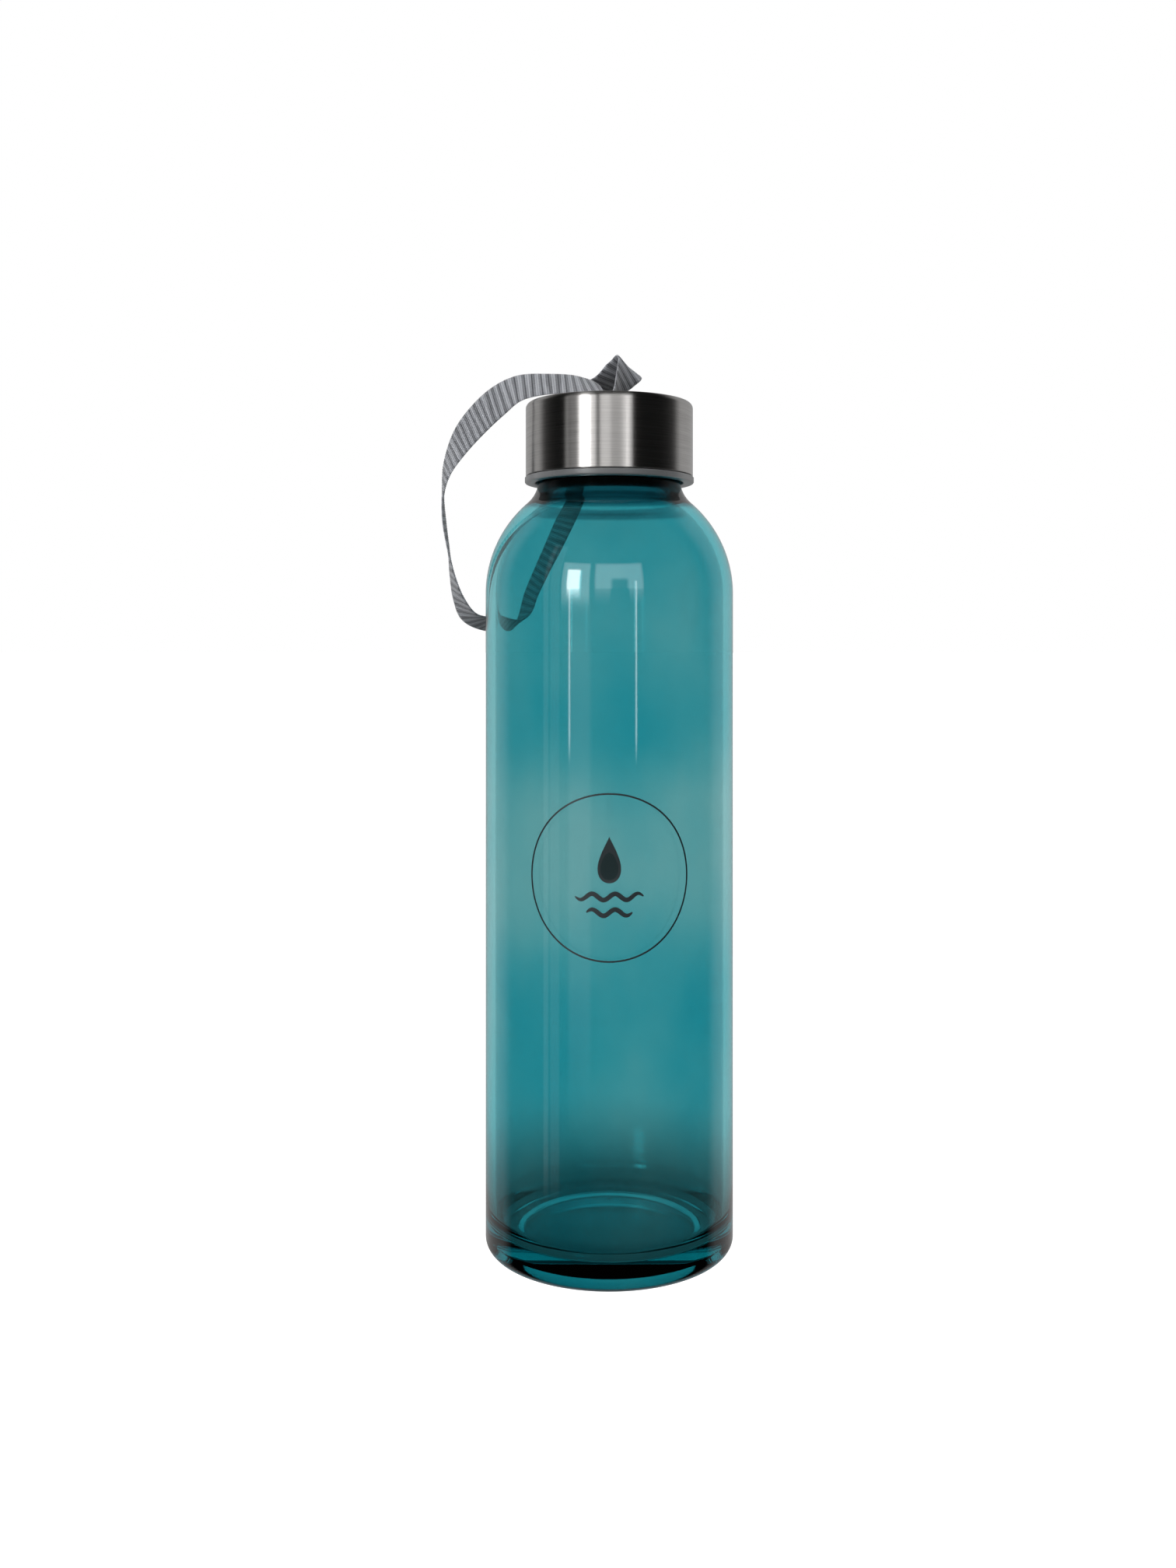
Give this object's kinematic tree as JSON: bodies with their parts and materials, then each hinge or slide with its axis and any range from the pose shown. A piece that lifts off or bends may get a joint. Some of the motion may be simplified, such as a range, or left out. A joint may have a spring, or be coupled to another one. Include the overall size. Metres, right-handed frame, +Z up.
{
  "type": "glass water bottle",
  "caption": "Tall round tinted-glass drinking bottle with a domed shoulder and a screw cap: a brushed steel shell over a plastic inner cap, with a ribbon carrying strap looped out of its top.",
  "frame": {"origin": "centre of the base, on the plane the bottle stands on", "axes": "+Z up along the bottle's axis, towards the cap; +X to the right and +Y away from a viewer who faces the printed side, with the strap hanging at -X"},
  "size_m": [0.0786, 0.0691, 0.2343],
  "materials": {
    "teal_glass": "clear, polished, tinted in the mass",
    "silicone": "matt, translucent",
    "grey_plastic": "satin, translucent",
    "brushed_steel": "brushed round the cap",
    "white_plastic": "matt",
    "grey_ribbon": "ribbed woven ribbon"
  },
  "bodies": {
    "bottle": {"glass_body": "teal_glass"},
    "seal": {"seal_ring": "silicone"},
    "cap": {"inner_cap": "grey_plastic", "cap_shell": "brushed_steel", "strap_anchor": "white_plastic", "strap": "grey_ribbon"}
  },
  "joints": [
    {"name": "cap_lift", "type": "slide", "parent": "bottle", "child": "seal", "axis": [0, 0, 1], "range_m": [0, 0.017]},
    {"name": "cap_turn", "type": "hinge", "parent": "seal", "child": "cap", "pos_m": [0, 0, 0.2], "axis": [0, 0, 1], "range_deg": [0, 1440]}
  ],
  "couplings": [
    {"joint": "cap_lift", "follows": "cap_turn", "m_per_rad": 0.00067322}
  ]
}
